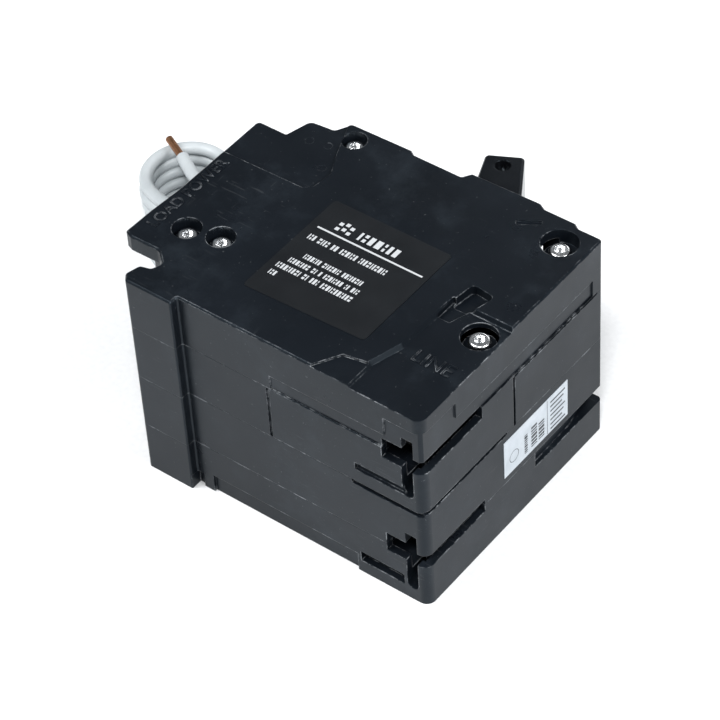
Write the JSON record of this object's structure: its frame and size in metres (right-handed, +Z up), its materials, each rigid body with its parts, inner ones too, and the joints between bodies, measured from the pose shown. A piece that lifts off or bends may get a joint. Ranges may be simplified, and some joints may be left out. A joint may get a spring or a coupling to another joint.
{
  "type": "ground-fault circuit breaker",
  "caption": "Plug-on ground-fault circuit breaker lying on its side: stacked moulded case, tied toggle handles, test button, wire lugs and a coiled white neutral pigtail.",
  "frame": {"origin": "middle of the base, with the breaker lying on its broad side and the pigtail left out", "axes": "+X towards the line end, +Y towards the handle side, +Z up from the lower pole to the upper pole"},
  "size_m": [0.1104, 0.0764, 0.0509],
  "materials": {
    "case_black": "moulded phenolic, semi-gloss, scuffed edges",
    "handle_black": "glossy moulded nylon",
    "zinc_steel": "bright zinc-plated steel",
    "terminal_steel": "zinc-plated screw",
    "bimetal_strip": "bare bimetal",
    "lug_aluminium": "plated aluminium",
    "tinned_brass": "tin-plated",
    "contact_silver": "silver alloy",
    "bare_copper": "bare copper, dull",
    "coil_copper": "enamelled winding",
    "fibre_grey": "vulcanised fibre",
    "moulded_black": "moulded plastic",
    "board_green": "coated board",
    "capacitor_can": "sleeved can",
    "core_coating": "coated core",
    "button_yellow": "moulded",
    "label_black": "printed film label",
    "label_white": "paper label",
    "insulation_white": "extruded insulation",
    "insulation_black": "extruded insulation"
  },
  "bodies": {
    "root": {"arc_plates_lower": "zinc_steel", "arc_plates_upper": "zinc_steel", "arc_side_sheets": "fibre_grey", "arm_pivot_pins": "zinc_steel", "armature_seats": "zinc_steel", "bimetal_lower": "bimetal_strip", "bimetal_upper": "bimetal_strip", "board_parts": "moulded_black", "bottom_cover": "case_black", "braids": "bare_copper", "calibration_screws": "zinc_steel", "capacitor": "capacitor_can", "case_screws": "zinc_steel", "circuit_board": "board_green", "cradle_pivot_pins": "zinc_steel", "date_label": "label_white", "fixed_contacts": "contact_silver", "handle_pivot_pin": "zinc_steel", "line_jaw_lower": "tinned_brass", "line_jaw_upper": "tinned_brass", "load_lead_lower": "insulation_black", "load_lead_upper": "insulation_black", "load_lug_lower": "lug_aluminium", "load_lug_upper": "lug_aluminium", "lower_case": "case_black", "magnet_yoke_lower": "zinc_steel", "magnet_yoke_upper": "zinc_steel", "neutral_lead": "insulation_white", "neutral_lug": "tinned_brass", "pigtail_coil": "insulation_white", "pigtail_end": "insulation_white", "pigtail_lead": "insulation_white", "pigtail_tip": "bare_copper", "rating_label": "label_black", "sensing_core": "core_coating", "solenoid_coil": "coil_copper", "solenoid_frame": "zinc_steel", "strain_relief": "moulded_black", "terminal_screws": "terminal_steel", "test_contact": "tinned_brass", "test_spring": "zinc_steel", "toggle_spring_lower": "zinc_steel", "toggle_spring_upper": "zinc_steel", "top_cover": "case_black", "trip_bar_bearings": "moulded_black", "upper_case": "case_black"},
    "handles": {"handle_upper": "handle_black", "handle_lower": "handle_black", "handle_tie_pin": "zinc_steel"},
    "arm_upper": {"contact_arm_upper": "bare_copper", "moving_contact_upper": "contact_silver"},
    "armature_upper": {"armature_upper": "zinc_steel"},
    "cradle_upper": {"cradle_upper": "zinc_steel"},
    "arm_lower": {"contact_arm_lower": "bare_copper", "moving_contact_lower": "contact_silver"},
    "armature_lower": {"armature_lower": "zinc_steel"},
    "cradle_lower": {"cradle_lower": "zinc_steel"},
    "test_button": {"test_button": "button_yellow"},
    "trip_bar": {"trip_bar": "moulded_black"},
    "plunger": {"solenoid_plunger": "zinc_steel"}
  },
  "joints": [
    {"name": "handle_throw", "type": "hinge", "parent": "root", "child": "handles", "pos_m": [0.01554, 0.01527, 0.0254], "axis": [0, 0, -1], "range_deg": [0, 54]},
    {"name": "test_press", "type": "slide", "parent": "root", "child": "test_button", "axis": [0, -1, 0], "range_m": [0, 0.0018], "stiffness_N_per_m": 300, "springref_m": -0.0006},
    {"name": "trip_bar_turn", "type": "hinge", "parent": "root", "child": "trip_bar", "pos_m": [-0.00886, 0.00136, 0.0254], "axis": [0, 0, -1], "range_deg": [0, 10], "stiffness_Nm_per_rad": 0.02},
    {"name": "plunger_push", "type": "slide", "parent": "root", "child": "plunger", "axis": [1, 0, 0], "range_m": [0, 0.002]},
    {"name": "contact_upper", "type": "hinge", "parent": "root", "child": "arm_upper", "pos_m": [0.02364, 0.00177, 0.0374], "axis": [0, 0, 1], "range_deg": [0, 30]},
    {"name": "armature_pull_upper", "type": "hinge", "parent": "root", "child": "armature_upper", "pos_m": [-0.00786, -0.02124, 0.0381], "axis": [0, 0, 1], "range_deg": [0, 5]},
    {"name": "cradle_release_upper", "type": "hinge", "parent": "root", "child": "cradle_upper", "pos_m": [0.00714, -0.00023, 0.0374], "axis": [0, 0, 1], "range_deg": [0, 16]},
    {"name": "contact_lower", "type": "hinge", "parent": "root", "child": "arm_lower", "pos_m": [0.02364, 0.00177, 0.012], "axis": [0, 0, 1], "range_deg": [0, 30]},
    {"name": "armature_pull_lower", "type": "hinge", "parent": "root", "child": "armature_lower", "pos_m": [-0.00786, -0.02124, 0.0127], "axis": [0, 0, 1], "range_deg": [0, 5]},
    {"name": "cradle_release_lower", "type": "hinge", "parent": "root", "child": "cradle_lower", "pos_m": [0.00714, -0.00023, 0.012], "axis": [0, 0, 1], "range_deg": [0, 16]}
  ],
  "couplings": [
    {"joint": "plunger_push", "follows": "trip_bar_turn", "m_per_rad": 0.01145},
    {"joint": "contact_upper", "follows": "handle_throw", "ratio": 0.5555},
    {"joint": "armature_pull_upper", "follows": "trip_bar_turn", "ratio": 0.5},
    {"joint": "cradle_release_upper", "follows": "trip_bar_turn", "ratio": 1.6},
    {"joint": "contact_lower", "follows": "handle_throw", "ratio": 0.5555},
    {"joint": "armature_pull_lower", "follows": "trip_bar_turn", "ratio": 0.5},
    {"joint": "cradle_release_lower", "follows": "trip_bar_turn", "ratio": 1.6}
  ]
}
